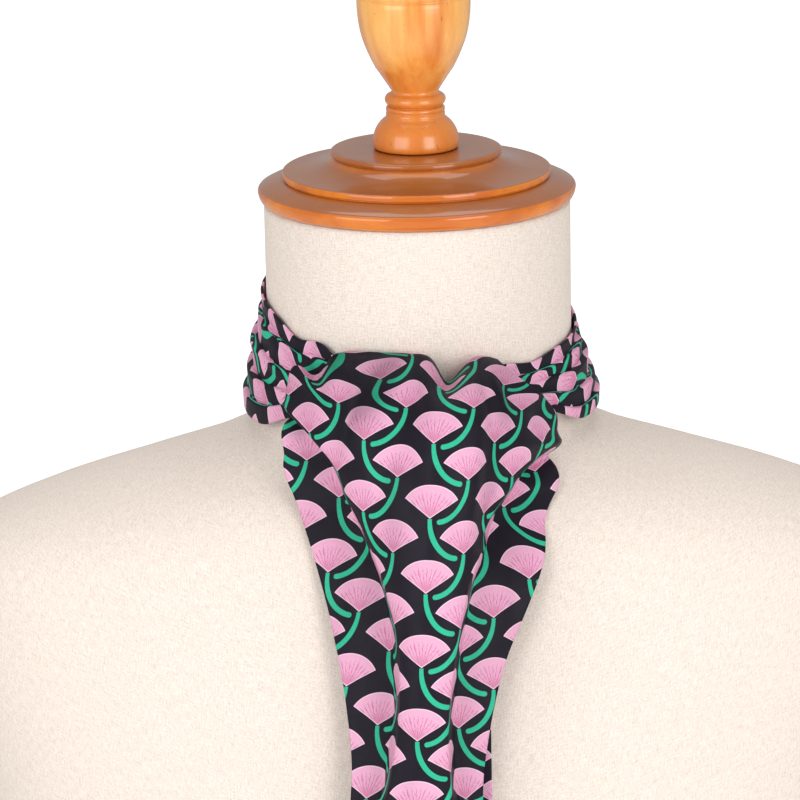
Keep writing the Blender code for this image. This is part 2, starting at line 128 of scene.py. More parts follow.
Pleat = namedtuple("Pleat", "share step wander phase")
PLEATS = table(Pleat, [
    (0.20, 2.6, 0.020, 20),
    (0.42, 2.9, 0.030, 140),
    (0.63, 2.9, 0.025, 250),
    (0.84, 2.4, 0.020, 330),
])
EDGE_CROWD, EDGE_PLACE, EDGE_REACH = 4.4, 0.03, 0.05  # rows crowd by each pleat's edge
PLEAT_RISE = 1.8
PLEAT_LEAN = 0.060

Drop = namedtuple("Drop", "down tilt section_tilt aside heading")
BLADE_DROP = table(Drop, [
    (-14, 180, 0, 7, 6.4),
    (-8.8, 178, 0, 7, 6.4),
    (0, 90, 0, 7, 6.4),
    (8, 73, 4, 6.9, 5),
    (20, 57, 14, 6.2, 3),
    (32, 42, 16, 5.2, 1),
    (45, 27, 14, 4.2, 0),
    (60, 19, 11, 3.1, -3),
    (90, 13, 8, 0.9, -12),
    (120, 9, 6, -1.3, -14),
    (160, 4, 4, -4.2, -10),
    (200, 0, 2, -5.4, 0),
    (262, -2, 0, -5.4, 0),
])
Side = namedtuple("Side", "down cloth fold flank radius sweep late")
BLADE_LEFT = table(Side, [
    (-14, 30, 44, 12, 1.7, 39, 1),
    (0, 36, 50, 12, 1.7, 43, 1),
    (10, 55, 62, 12, 1.7, 46, 1),
    (16, 65, 70, 12, 1.8, 46, 1),
    (24, 71, 75, 14, 2, 46, 1),
    (34, 77, 75, 16, 2.4, 47, 1),
    (46, 82, 60, 13, 3, 46, 1),
    (59, 82, 45, 18, 3.2, 46, 1),
    (74, 76, 36, 19, 3, 46, 1.1),
    (88, 69, 28, 18, 2.6, 46, 1.1),
    (102, 62, 20, 18, 2.4, 44, 1.1),
    (114, 56.5, 14.5, 18, 2.2, 42, 1.1),
    (130, 50, 10.5, 17, 2, 38, 1.1),
    (150, 43, 9, 15, 2, 34, 1.1),
    (175, 37, 11.5, 12, 2, 30, 1.1),
    (192, 34.5, 15.5, 9, 2, 26, 1.2),
    (208, 31, 20, 6, 2, 20, 1.3),
    (222, 28, 24, 3, 2, 15, 1.3),
    (240, 19, 28, 0, 1.8, 10, 1.2),
    (262, BLADE_TIP_HALF_WIDTH, 34, 0, 1.7, 6, 1),
])
BLADE_RIGHT = table(Side, [
    (-14, 21, 38, 12, 1.7, 35, 1),
    (0, 25, 38, 12, 1.7, 36, 1),
    (10, 38, 50, 12, 1.7, 42, 1),
    (22, 56, 64, 13, 1.7, 50, 1),
    (34, 78, 75, 16, 1.7, 62, 1),
    (43, 82, 75, 18, 1.8, 68, 1),
    (51, 82, 62, 19, 1.8, 68, 1),
    (59, 82, 48, 20, 1.8, 60, 1),
    (66, 80, 42, 20, 1.8, 54, 1.1),
    (74, 76, 36, 20, 1.8, 52, 1.1),
    (88, 69, 26, 19, 1.8, 50, 1.1),
    (102, 62, 18, 18, 1.8, 48, 1.1),
    (130, 50, 13.5, 17, 1.8, 40, 1.1),
    (150, 44, 12.5, 15, 1.8, 34, 1.1),
    (175, 38, 14, 12, 1.8, 30, 1.1),
    (192, 35, 17, 9, 1.8, 24, 1.2),
    (208, 32, 21, 6, 1.8, 18, 1.3),
    (222, 28.5, 25, 3, 1.8, 13, 1.2),
    (240, 19, 28, 0, 1.7, 9, 1.2),
    (262, BLADE_TIP_HALF_WIDTH, 34, 0, 1.7, 6, 1),
])
TURNED = 82.0  # direction of the cloth on a flank, and beyond it
SIDE_LAY = 14.0
LEFT_TILT_SHARE = 0.45  # of the sections' tilt, which each side takes
RIGHT_TILT_SHARE = 1.2

Hollow = namedtuple("Hollow", "across depth left_width right_width fade")
HOLLOWS = table(Hollow, [
    (3, 11, 4.5, 7.5, 34),
    (-54.5, 9.5, 6, 10.5, 32),
    (44, 12, 20, 14, 34),
])

# ---- what the cloth has beyond it
# Something sets in softly from a start, over a reach: in degrees from the throat on the
# ring, and in millimetres on the blades
Onset = namedtuple("Onset", "start reach")
RING_SIDE_DROP = Onset(44, 22)
RING_SNUG = Onset(19, 24)
RING_FULLNESS = Onset(35, 40)
RING_CREASED = Onset(28, 12)
BLADE_SWINGS = Onset(-9, 15)
BLADE_RESTS = Onset(20, 20)
BLADE_CREASED = Onset(-2, 8)
PANEL_ENDS = Onset(-12, 8)  # from the fold outwards
WING_STARTS = Onset(26, 8)
UNDER_EDGE = Onset(1, 8)  # from the under blade's edge outwards
UNDER_WIDENS = Onset(0, 40)
# reach of the painted shade near the roll
ROLL_SHADE_ENDS = Onset(6, 48)
ROLL_SHADE_STARTS = Onset(2, 10)  # up from the roll's top

# Left of the dip small tucks in the roll take up cloth, to the right and down: how much,
# where across the blade they set in and end, and where they end below
Tuck = namedtuple("Tuck", "taken sets_in ends ends_below")
TUCKED_ACROSS = Tuck(5.0, Onset(-56, 22), Onset(-17, 15), Onset(20, 11))
TUCKED_DOWN = Tuck(4.4, Onset(-46, 15), Onset(-26, 16), Onset(19, 17))

# Swings turn the cloth about a line that runs down the blade, where the panel breaks into a
# soft fold: place on the cloth, reach down and across it, and the turn in degrees
Swing = namedtuple("Swing", "across down length width turn")
LEFT_SWINGS = table(Swing, [
    (6, 28, 46, 8, 42),
    (22, 55, 18, 7, -18),
    (37, 42, 22, 7, 22),
    (58, 28, 13, 10, 22),
])
RIGHT_SWINGS = table(Swing, [
    (7, 50, 20, 8, -9),
    (22, 50, 40, 7.5, 46),
    (22, 76, 14, 8, 20),
    (31, 26, 13, 9, 18),
    (51, 32, 13, 9, 26),
    (8, 86, 18, 8, 18),
])
# Creases stand proud of the sheet (or lie in it, where the height is negative): middle,
# half length, half width, and how far the line leans from straight down the cloth
Crease = namedtuple("Crease", "across down length width height lean")
BLADE_CREASES = table(Crease, [
    (-42, 6, 12, 4.5, -2.2, -10),
    (-52, 16, 16, 3.5, 1.4, 4),
    (12, 62, 30, 6, 1.4, -4),
    (30, 60, 24, 6, -1, -6),
    (-15, 66, 24, 6, -1.2, 8),
    (-32, 60, 22, 6, 0.9, 12),
    (-28, 28, 22, 5.5, -2.6, -27),
    (-14, 34, 20, 4.5, 1.9, -20),
    (-42, 36, 18, 5, 1.4, -10),
    (28, 25, 14, 4, -1.9, 38),
    (19, 18, 18, 3.6, 1.6, 22),
    (4, 128, 30, 4, 0.5, 3),
    (-4, 175, 26, 5, -0.6, -3),
    (9, 210, 24, 4.5, 0.5, 4),
    (-36, 150, 34, 5, 0.6, 3),
    (-52, 120, 30, 5.5, -0.7, -4),
    (40, 150, 30, 4.5, 0.6, -3),
    (52, 110, 26, 5, -0.6, 4),
])


# ---- tables and ramps
def along(table, name, places):
    """One column of a table at the given places: a Hermite curve with no overshoot."""
    at = np.array([row[0] for row in table], dtype=float)
    value = np.array([getattr(row, name) for row in table], dtype=float)
    step = np.diff(at)
    slope = np.diff(value) / step
    product = slope[:-1] * slope[1:]
    total = np.where(product > 0, slope[:-1] + slope[1:], 1.0)
    inner = np.where(product > 0, 2 * product / total, 0.0)
    tangent = np.concatenate([slope[:1], inner, slope[-1:]])
    places = np.clip(places, at[0], at[-1])
    k = np.clip(np.searchsorted(at, places, side="right") - 1, 0, len(step) - 1)
    t = (places - at[k]) / step[k]
    start = value[k] * (1 + 2 * t) * (1 - t) ** 2 + tangent[k] * step[k] * t * (1 - t) ** 2
    end = value[k + 1] * t * t * (3 - 2 * t) - tangent[k + 1] * step[k] * t * t * (1 - t)
    return start + end


def running_sum(values, places):
    """Integral of the values along their last axis (trapezium rule)."""
    steps = 0.5 * (values[..., 1:] + values[..., :-1]) * np.diff(places, axis=-1)
    return np.concatenate([np.zeros(steps.shape[:-1] + (1,)), np.cumsum(steps, axis=-1)],
                          axis=-1)


def spread(places, density, count):
    """count + 1 places, closer together where the density is higher."""
    share = running_sum(density, places)
    return np.interp(np.linspace(0, share[-1], count + 1), share, places)


def way(points, axis):
    """Distance of each point from the first, on the way along an axis of their grid."""
    steps = np.linalg.norm(np.diff(points, axis=axis), axis=-1)
    start = np.zeros_like(steps.take([0], axis=axis))
    return np.concatenate([start, np.cumsum(steps, axis=axis)], axis=axis)


def ramp(x, start=0.0, reach=1.0):
    """0 up to the start and 1 from start + reach on, with soft ends."""
    x = np.clip((x - start) / reach, 0.0, 1.0)
    return x * x * (3 - 2 * x)


def fade(x, start=0.0, reach=1.0):
    """1 up to the start and 0 from start + reach on, with soft ends."""
    return 1 - ramp(x, start, reach)


def bell(x):
    """1 at 0, falling away to both sides as exp(-x * x)."""
    return np.exp(-x * x)


# ---- making meshes
def link(thing):
    """Puts an object into the scene."""
    bpy.context.scene.collection.objects.link(thing)
    return thing


def make_piece(name, points, cloth_place, finish, node, solid=False):
    """A mesh piece through a (rows, columns, 3) array of points in millimetres.

    cloth_place is a (rows, columns, 2) array of distances on the cloth, which becomes the UV
    map in metres. A solid has its last column joined to its first, and its open ends closed.
    """
    rows, columns = points.shape[:2]
    number = np.arange(rows * columns).reshape(rows, columns)
    corner = [number[:-1, :-1], number[:-1, 1:], number[1:, 1:], number[1:, :-1]]
    faces = np.stack(corner, axis=-1).reshape(-1, 4)
    mesh = bpy.data.meshes.new(name)
    mesh.from_pydata((points.reshape(-1, 3) * MM).tolist(), [], faces.tolist())
    layer = mesh.uv_layers.new(name="cloth")
    place = cloth_place.reshape(-1, 2)[faces.reshape(-1)] * MM
    layer.data.foreach_set("uv", place.astype(np.float32).reshape(-1))
    piece = link(bpy.data.objects.new(name, mesh))
    if solid:
        body = bmesh.new()
        body.from_mesh(mesh)
        bmesh.ops.remove_doubles(body, verts=body.verts, dist=1e-7)
        open_edges = [edge for edge in body.edges if edge.is_boundary]
        bmesh.ops.holes_fill(body, edges=open_edges, sides=0)
        bmesh.ops.recalc_face_normals(body, faces=body.faces)
        body.to_mesh(mesh)
        body.free()
    mesh.shade_smooth()
    mesh.materials.append(finish)
    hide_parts(node)
    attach(piece, "root")
    return piece


def make_cloth(name, points, cloth_place, finish, node):
    """A sheet of printed silk: a piece with its thickness laid half to each side."""
    piece = make_piece(name, points, cloth_place, finish, node)
    wall = piece.modifiers.new("wall", "SOLIDIFY")
    wall.thickness = SILK_THICKNESS * MM
    wall.offset = 0.0
    wall.use_quality_normals = True
    return piece


def surface_normals(points):
    """Unit normals of a grid of points, from the cross product of its two directions."""
    normal = np.cross(np.gradient(points, axis=1), np.gradient(points, axis=0))
    return normal / np.maximum(np.linalg.norm(normal, axis=-1, keepdims=True), 1e-9)


def crease_height(creases, across, down):
    """Sum over the creases of height * bell(beside / width) * bell(along / length).

    beside and along are a place's distances across and along the crease's own leaning line.
    """
    height = np.zeros(np.broadcast(across, down).shape)
    for crease in creases:
        lean = radians(crease.lean)
        right, below = across - crease.across, down - crease.down
        beside = right * cos(lean) - below * sin(lean)
        run = right * sin(lean) + below * cos(lean)
        height += crease.height * bell(beside / crease.width) * bell(run / crease.length)
    return height


# ---- dress form
FORM_BASE_ROUNDING = 1.6
SHOULDERS_FROM = 440.0  # height above which the rings crowd


def form_front(x, z):
    """Distance of the form's front surface in front of the neck axis, at x and z."""
    front = along(FORM_SECTIONS, "front", z)
    power = along(FORM_SECTIONS, "squareness", z)
    share = np.clip(np.abs(x) / along(FORM_SECTIONS, "half_width", z), 0, 1)
    return front * (1 - share ** power) ** (1 / power)


def make_linen_form(finish):
    """The form: at height z a ring x = w |cos t|^(2/p), y = d |sin t|^(2/p), with signs.

    w, d and p come from the table of sections; d is the front or the back depth. The lowest
    rings curve in to a flat underside. Its UV is the distance round each ring from the front
    and down each column from the neck's top; the seam runs down the back.
    """
    z = np.linspace(0, FORM_SECTIONS[-1].z, FINE_SAMPLES)
    change = np.abs(np.gradient(along(FORM_SECTIONS, "half_width", z), z))
    levels = spread(z, 1.0 + 1.2 * change + 3.0 * (z > SHOULDERS_FROM), FORM_RINGS)
    corner = FORM_BASE_ROUNDING * (1 - np.cos(np.linspace(0, pi / 2, CORNER_RINGS + 1)[1:]))
    levels = np.sort(np.concatenate([levels, corner]))
    turn = np.linspace(-1.5 * pi, pi / 2, FORM_COLUMNS + 1)[None, :]
    half_width, front, back, power = (
        along(FORM_SECTIONS, name, levels)[:, None] for name in FormSection._fields[1:])
    inset = FORM_BASE_ROUNDING * (
        1 - np.sqrt(1 - (1 - np.clip(levels / FORM_BASE_ROUNDING, 0, 1)) ** 2))[:, None]
    depth = np.where(np.sin(turn) < 0, front, back) - inset
    x = (half_width - inset) * np.sign(np.cos(turn)) * np.abs(np.cos(turn)) ** (2 / power)
    y = depth * np.sign(np.sin(turn)) * np.abs(np.sin(turn)) ** (2 / power)
    points = np.stack([x, y, np.broadcast_to(levels[:, None], x.shape)], axis=-1)
    points[:, -1] = points[:, 0]
    round_ring, up = way(points, 1), way(points, 0)
    at_front = round_ring[:, FORM_COLUMNS // 2, None]
    place = np.stack([round_ring - at_front, up - up[-1:]], axis=-1)
    return make_piece("linen_form", points, place, finish, "form_body", True)


# ---- turned wood
LEAST_STEP = 1e-4  # between two points of a profile
CAP_SEGMENTS, FINIAL_SEGMENTS = 160, 128
BULB_WIDEST = CAP_BOTTOM + 82.0
BULB_RADIUS = 22.5


def arc(centre, radius, start, end, steps):
    """Points of an arc about (r, z), from one angle to another, 90 degrees being up."""
    angle = np.radians(np.linspace(start, end, steps + 1))
    return np.stack([centre[0] + radius * np.cos(angle),
                     centre[1] + radius * np.sin(angle)], axis=-1)


def bend(start, corner, end, steps):
    """Points of a soft bend from start to end that heads for the corner."""
    t = np.linspace(0, 1, steps + 1)[:, None]
    start, corner, end = np.array(start), np.array(corner), np.array(end)
    return start * (1 - t) ** 2 + 2 * corner * t * (1 - t) + end * t * t


def straight(start, end, steps):
    """Points of a straight stretch."""
    return np.linspace(start, end, steps + 1)


def turned(name, stretches, base, segments, finish, node):
    """A solid turned about the z axis: x = r cos t, y = r sin t, down a profile (r, z).

    The profile's stretches give their heights above the base.
    """
    profile = np.concatenate(stretches) + np.array([0.0, base])
    profile = profile[np.diff(way(profile, 0), prepend=-1.0) > LEAST_STEP]
    turn = np.linspace(-pi / 2, 1.5 * pi, segments + 1)[None, :]
    r, z = profile[:, :1], profile[:, 1:]
    points = np.stack([r * np.cos(turn), r * np.sin(turn), z + 0 * turn], axis=-1)
    points[:, -1] = points[:, 0]
    length = way(profile, 0)[:, None]
    place = np.stack([NECK_RADIUS * (turn + 0 * r), length + 0 * turn], axis=-1)
    return make_piece(name, points, place, finish, node, True)


def make_turned_cap(finish):
    """The cap: a rounded disc, a narrow second tier, a cove and a small disc."""
    stretches = [
        straight((0, CAP_HEIGHT), (32.9, CAP_HEIGHT), 12),
        arc((32.9, CAP_HEIGHT - 1.3), 1.3, 90, -90, 14),
        bend((33.2, 18.0), (36.4, 13.1), (51.8, 12.6), 20),
        arc((52.7, 11.9), 0.7, 90, 0, 6),
        arc((52.7, 10.5), 0.7, 0, -90, 6),
        bend((52.4, 9.6), (54.4, 9.4), (57.6, 8.3), 6),
        bend((57.6, 8.3), (60.6, 7.3), (62.3, 6.2), 8),
        arc((61.7, 4.8), 1.6, 64, -10, 8),
        bend((63.2, 4.2), (62.6, 0.3), (59.6, 0), 12),
        straight((59.6, 0), (0, 0), 8),
    ]
    return turned("turned_cap", stretches, CAP_BOTTOM, CAP_SEGMENTS, finish, "neck_cap")


def make_turned_finial(finish):
    """The finial: a vase-shaped bulb with a turned groove, rings and a domed foot.

    Heights are above the bulb's widest ring. The bulb's top is half of an ellipse,
    r = R sin a and z = h cos a.
    """
    foot = CAP_BOTTOM + CAP_HEIGHT + CAP_SEAT_GAP - BULB_WIDEST
    angle = np.radians(np.linspace(0, 85, 24))
    dome = np.stack([BULB_RADIUS * np.sin(angle),
                     (FINIAL_TOP - BULB_WIDEST) * np.cos(angle)], axis=-1)
    stretches = [
        dome,
        bend((BULB_RADIUS, 0.5), (21.7, 0), (BULB_RADIUS, -0.6), 6),
        bend((BULB_RADIUS, -0.6), (22.6, -12.4), (19.5, -20), 12),
        bend((19.5, -20), (17.9, -24.2), (15.6, -28.6), 8),
        bend((15.6, -28.6), (11.9, -34.0), (9.2, -38.4), 8),
        arc((9.7, -41.6), 2.4, 80, -80, 14),
        bend((10.3, -44.2), (11.7, -44.2), (11.7, -45.2), 4),
        bend((11.7, -45.9), (10.9, -46.4), (11.7, -46.9), 5),
        straight((11.7, -46.9), (11.7, -48.4), 2),
        bend((11.7, -48.6), (16.9, -52.0), (17.2, foot + 2.2), 14),
        bend((17.2, foot + 2.2), (17.1, foot), (16.2, foot), 5),
        straight((16.2, foot), (0, foot), 4),
    ]
    return turned("turned_finial", stretches, BULB_WIDEST, FINIAL_SEGMENTS, finish, "finial")


# ---- band and crossing
LIP_RISE = 1.5  # how far a pleat's folded edge stands up over its crease
LIP_WIDTH = 1.5
HIDDEN_PLEAT = 11.0  # cloth that each pleat hides, which the print jumps by
BAND_PRINT_START = 21.0  # place on the cloth of the band's top edge
JOIN_GAP = 0.54  # between the crossing's ends and the band's
BAND_CREASES = table(Crease, [
    (-96, 8, 16, 2, 0.7, 72),
    (-120, 17, 20, 2.4, -0.8, 66),
    (-150, 12, 26, 2.4, 0.7, 84),
    (-168, 22, 24, 2, 0.6, 100),
    (96, 12, 16, 1.8, 0.8, 104),
    (112, 20, 18, 2, -0.8, 98),
    (128, 9, 20, 1.8, 0.7, 78),
    (140, 24, 24, 2, 0.6, 82),
    (60, 14, 16, 2.4, 0.7, 96),
    (40, 8, 18, 2, -0.6, 84),
    (-60, 16, 22, 2.6, 0.8, 94),
    (-36, 24, 20, 2.4, -0.7, 86),
    (0, 12, 26, 2.6, 0.6, 92),
    (14, 22, 22, 2.4, 0.5, 86),
])


def ring_top(angle):
    """Height of the cravat's top ring; 0 is the throat and 90 the viewer's right."""
    a = np.radians(angle)
    height = RING_TOP - RING_DROP_TO_FRONT * np.cos(a) - RING_DROP_TO_RIGHT * np.sin(a)
    for dent in RING_DENTS:
        away = (angle - dent.angle + 180.0) % 360.0 - 180.0
        height = height - dent.depth * bell(away / dent.width)
    return height


def band_sheet(start, end, columns, rows, drop):
    """Points and cloth places of a pleated stretch round the neck between two angles.

    Down the section at angle a the radius is r(s) = r0(a) + full(a) * sum(step_k *
    ramp((s - s_k(a)) / rise)) - lean * s, and each pleat's folded edge stands up by
    LIP_RISE * bell((s - s_k - rise) / LIP_WIDTH), so that it hides the crease behind it.
    """
    angle = np.linspace(start, end, columns + 1)[None, :]
    a = np.radians(angle)
    top = ring_top(angle) - drop
    from_throat = np.abs((angle + 180.0) % 360.0 - 180.0)
    height = top - BAND_BOTTOM + BAND_BOTTOM_DROP * np.cos(a) + (
        BAND_SIDE_DROP * ramp(from_throat, *RING_SIDE_DROP))
    share = np.linspace(0, 1, STRIP_SAMPLES)
    crowd = 1 + sum(EDGE_CROWD * bell((share - pleat.share - EDGE_PLACE) / EDGE_REACH)
                    for pleat in PLEATS)
    s = spread(share, crowd, rows)[:, None] * height
    fullness = 0.5 + 0.5 * ramp(from_throat, *RING_FULLNESS)
    out = BAND_SNUG_RADIUS - PLEAT_LEAN * s + (
        BAND_LIFTED_RADIUS - BAND_SNUG_RADIUS) * fade(from_throat, *RING_SNUG)
    z = top - s
    hidden = np.zeros_like(s)
    for pleat in PLEATS:
        wave = pleat.wander * np.sin(np.radians(2 * angle + pleat.phase))
        edge = (pleat.share + wave) * height
        stepped = ramp(s, edge, PLEAT_RISE)
        out = out + fullness * pleat.step * stepped
        z = z + fullness * LIP_RISE * bell((s - edge - PLEAT_RISE) / LIP_WIDTH)
        hidden = hidden + HIDDEN_PLEAT * stepped
    points = np.stack([out * np.sin(a), -out * np.cos(a), z], axis=-1)
    round_neck = np.radians(angle - 180.0) * BAND_SNUG_RADIUS + 0 * s
    creased = ramp(from_throat, *RING_CREASED) * crease_height(BAND_CREASES, round_neck, s)
    points = points + surface_normals(points) * creased[..., None]
    return points, np.stack([s + hidden + BAND_PRINT_START, -round_neck], axis=-1)


def make_silk_band(finish):
    """The band round the neck; its print runs from each blade towards the nape."""
    points, place = band_sheet(SEAM_ANGLE, 360 - SEAM_ANGLE, BAND_COLUMNS, BAND_ROWS, 0.0)
    return make_cloth("silk_band", points, place, finish, "neck_band")


def make_silk_crossing(finish):
    """The crossing in front of the throat, between the band's two ends."""
    end = SEAM_ANGLE - degrees(JOIN_GAP / NECK_RADIUS)
    points, place = band_sheet(-end, end, CROSSING_COLUMNS, CROSSING_ROWS, CROSSING_DROP)
    return make_cloth("silk_crossing", points, place, finish, "crossing")


# ---- blades
def half_section(side_table, swings, down, heading):
    """Half of the blade's cross-sections, from the middle line outwards, as whole rows.

    The cloth's direction turns with its distance s from the middle line:
    t(s) = heading + sweep * (s / fold) ^ late + swings, then up to TURNED over the fold's
    arc and back to SIDE_LAY over a second fold, a flank further on. The section is the
    integral of (cos t, sin t). Returns s, outwards, back and how close its columns lie.
    """
    cloth, fold, flank, radius, sweep, late = (
        along(side_table, name, down)[:, None] for name in Side._fields[1:])
    heading = heading[:, None]
    s = cloth * np.linspace(0, 1, SECTION_SAMPLES)[None, :]
    swept = sweep + heading
    first_start = fold - np.radians(90 - swept) * radius
    first_length = np.radians(TURNED - swept) * radius
    second_length = radians(TURNED - SIDE_LAY) * LAYER_RADIUS
    second_start = fold + flank - second_length / 2
    direction = heading + sweep * np.clip(s / first_start, 0, 1) ** late
    first = np.clip((s - first_start) / first_length, 0, 1)
    second = np.clip((s - second_start) / second_length, 0, 1)
    crowd = 1.0 + sum(3.0 * ((turn > 0) & (turn < 1)) for turn in (first, second))
    down = down[:, None]
    for swing in swings:
        direction = direction + ramp(down, *BLADE_SWINGS) * (1 - first) * swing.turn * bell(
            (s - swing.across) / swing.width) * bell((down - swing.down) / swing.length)
    t = np.radians(direction + (TURNED - swept) * first - (TURNED - SIDE_LAY) * second)
    return s, running_sum(np.cos(t), s), running_sum(np.sin(t), s), crowd


def half_sheet(side_table, swings, downs, headings, columns):
    """Half of a folded blade: its rows' distances on the cloth, outwards and back.

    Neighbouring rows place their columns alike, so that the mesh runs along the folds.
    """
    s, outwards, back, crowd = half_section(side_table, swings, downs, headings)
    share = running_sum(crowd, s)
    share = share / share[:, -1:]
    even = np.linspace(0, 1, columns + 1)
    chosen = np.array([np.interp(even, row, place / place[-1])
                       for row, place in zip(share, s)])
    for _ in range(COLUMN_SMOOTHING):
        chosen[1:-1] = (chosen[:-2] + 2 * chosen[1:-1] + chosen[2:]) / 4
    at = chosen * s[:, -1:]
    return np.array([at] + [[np.interp(a, row, value) for a, row, value in zip(at, s, values)]
                            for values in (outwards, back)])


def join_halves(left, right):
    """Both halves of a blade as (across, out, back), from the left edge to the right."""
    mirror = np.array([-1, -1, 1])[:, None, None]
    return np.concatenate([mirror * left[:, :, :0:-1], right], axis=2)


def hollow_depth(across, down):
    """How much lower the blade's top line lies at a place on the cloth."""
    depth = 0.0
    for hollow in HOLLOWS:
        away = across - hollow.across
        width = np.where(away < 0, hollow.left_width, hollow.right_width)
        depth = depth + hollow.depth * bell(away / width) * fade(down, 0, hollow.fade)
    return depth


def taken_up(tuck, across, down):
    """Cloth that a tuck takes up: all of it between its ends, and none beyond them."""
    return tuck.taken * ramp(across, *tuck.sets_in) * fade(across, *tuck.ends) * fade(
        down, *tuck.ends_below)


def rest_on_form(x, y, z):
    """The depth y, held off the form's front: with d the distance to spare, it becomes
    (d + sqrt(d * d + k * k)) / 2, so that the cloth lies on the form and never enters it."""
    beside = np.abs(x) - UNDER_FOLDED_WIDTH / 2
    rest = form_front(x, z) + RESTING_CLEARANCE + (
        UNDER_BLADE_CLEARANCE * fade(beside, *UNDER_EDGE))
    spare = -y - rest
    return -rest - (spare + np.sqrt(spare ** 2 + RESTING_SOFTNESS ** 2)) / 2


def blade_middle_line(rows):
    """Distances down the front blade and the (forward, height) of its middle line."""
    v = np.linspace(BLADE_DROP[0].down, BLADE_DROP[-1].down, BLADE_SAMPLES)
    tilt = along(BLADE_DROP, "tilt", v)
    forward = running_sum(np.sin(np.radians(tilt)), v)
    fall = running_sum(np.cos(np.radians(tilt)), v)
    forward += ROLL_FRONT - np.interp(0.0, v, forward)
    height = ROLL_TOP + np.interp(0.0, v, fall) - fall
    chosen = spread(v, 1.0 + ROLL_CROWD * bell((v + 2) / 12), rows)
    return chosen, np.interp(chosen, v, forward), np.interp(chosen, v, height)


def make_silk_front_blade(finish):
    """The front blade: up behind the crossing, over the roll and down to its point.

    Its sections' out and back become x = aside + out, y = -forward + back * cos(tilt) and
    z = height - back * sin(tilt). It then rests on the form and takes its creases.
    """
    down, forward, height = blade_middle_line(BLADE_ROWS)
    heading = along(BLADE_DROP, "heading", down)
    left = half_sheet(BLADE_LEFT, LEFT_SWINGS, down, -heading, LEFT_COLUMNS)
    right = half_sheet(BLADE_RIGHT, RIGHT_SWINGS, down, heading, RIGHT_COLUMNS)
    across, out, back = join_halves(left, right)
    tilt = np.radians(along(BLADE_DROP, "section_tilt", down))[:, None]
    tilt = tilt * np.where(across < 0, LEFT_TILT_SHARE, RIGHT_TILT_SHARE)
    below = down[:, None]
    x = along(BLADE_DROP, "aside", down)[:, None] + out
    y = -forward[:, None] + back * np.cos(tilt)
    z = height[:, None] - back * np.sin(tilt) - hollow_depth(across, below)
    y = y + ramp(below, *BLADE_RESTS) * (rest_on_form(x, y, z) - y)
    points = np.stack([x, y, z], axis=-1)
    fold = np.where(across < 0, along(BLADE_LEFT, "fold", down)[:, None],
                    along(BLADE_RIGHT, "fold", down)[:, None])
    beyond = np.abs(across) - fold
    shown = (fade(beyond, *PANEL_ENDS) + ramp(beyond, *WING_STARTS)) * (
        ramp(below, *BLADE_CREASED))
    relief = shown * crease_height(BLADE_CREASES, across, below)
    points = points + surface_normals(points) * relief[..., None]
    place = np.stack([across - taken_up(TUCKED_ACROSS, across, below),
                      taken_up(TUCKED_DOWN, across, below) - below], axis=-1)
    piece = make_cloth("silk_front_blade", points[::-1], place[::-1], finish, "front_blade")
    # painted shade: the silk's colour darkens with this attribute, in the creases' valleys and
    # near the roll's top
    shade_layer = piece.data.attributes.new("painted_shade", "FLOAT", "POINT")
    rolled = ROLL_PAINTED_SHADE * fade(below, *ROLL_SHADE_ENDS) * fade(-below, *ROLL_SHADE_STARTS)
    painted_shade_amount = np.clip(rolled + np.clip(-relief / DEEP_VALLEY, 0.0, 1.0), 0.0, 1.0)
    shade_layer.data.foreach_set("value", painted_shade_amount[::-1].astype(np.float32).reshape(-1))
    return piece


def make_silk_under_blade(finish):
    """The under blade: a folded strip with a pointed end, lying down the form's front.

    At a place down the strip its middle surface lies UNDER_CLEARANCE in front of the form's
    front, y = -(front(x, z) + clearance), and its half width narrows to the point.
    """
    levels = np.linspace(UNDER_DROP_START, UNDER_DROP_START - UNDER_LENGTH, STRIP_SAMPLES)
    depth = form_front(np.zeros_like(levels), levels) + UNDER_CLEARANCE
    length = running_sum(np.hypot(1.0, np.gradient(depth, levels)), -levels)
    down = np.linspace(0, UNDER_LENGTH, UNDER_ROWS + 1)
    narrow_end = np.clip((UNDER_LENGTH - down) / UNDER_POINT, 0.0, 1.0)
    half_width = np.minimum(
        UNDER_FOLDED_WIDTH / 2 * narrow_end + BLADE_TIP_HALF_WIDTH,
        UNDER_TOP_HALF_WIDTH + UNDER_WIDENING * ramp(down, *UNDER_WIDENS))
    x = half_width[:, None] * np.linspace(-1, 1, UNDER_COLUMNS + 1)
    z = np.interp(down, length, levels)[:, None] + 0 * x
    points = np.stack([x, -form_front(x, z) - UNDER_CLEARANCE, z], axis=-1)
    place = np.stack([x, -down[:, None] - UNDER_PRINT_START + 0 * x], axis=-1)
    return make_cloth("silk_under_blade", points[::-1], place[::-1], finish, "under_blade")


# ---- shader helpers
class Wire:
    """A value in a node tree. Arithmetic on wires and numbers places Math nodes."""

    def __init__(self, tree, socket):
        self.tree, self.socket = tree, socket

    def __add__(self, other):
        return calc("ADD", self, other)

    def __sub__(self, other):
        return calc("SUBTRACT", self, other)

    def __rsub__(self, other):
        return calc("SUBTRACT", other, self)

    def __mul__(self, other):
        return calc("MULTIPLY", self, other)

    def __truediv__(self, other):
        return calc("DIVIDE", self, other)

    __rmul__ = __mul__


def feed(tree, node, values):
    """Feeds a node's inputs, by name or number: a wire is linked, a constant is set."""
    for name, value in values.items():
        if isinstance(value, Wire):
            tree.links.new(value.socket, node.inputs[name])
        else:
            node.inputs[name].default_value = value


def place_node(tree, kind, values, output=0, **settings):
    """One output of a new node as a wire, with its settings made and its inputs fed."""
    node = tree.nodes.new("ShaderNode" + kind)
    for name, setting in settings.items():
        setattr(node, name, setting)
    feed(tree, node, values)
    return Wire(tree, node.outputs[output])


def tree_of(*values):
    """The node tree of the first wire among some wires and constants."""
    return next(value.tree for value in values if isinstance(value, Wire))


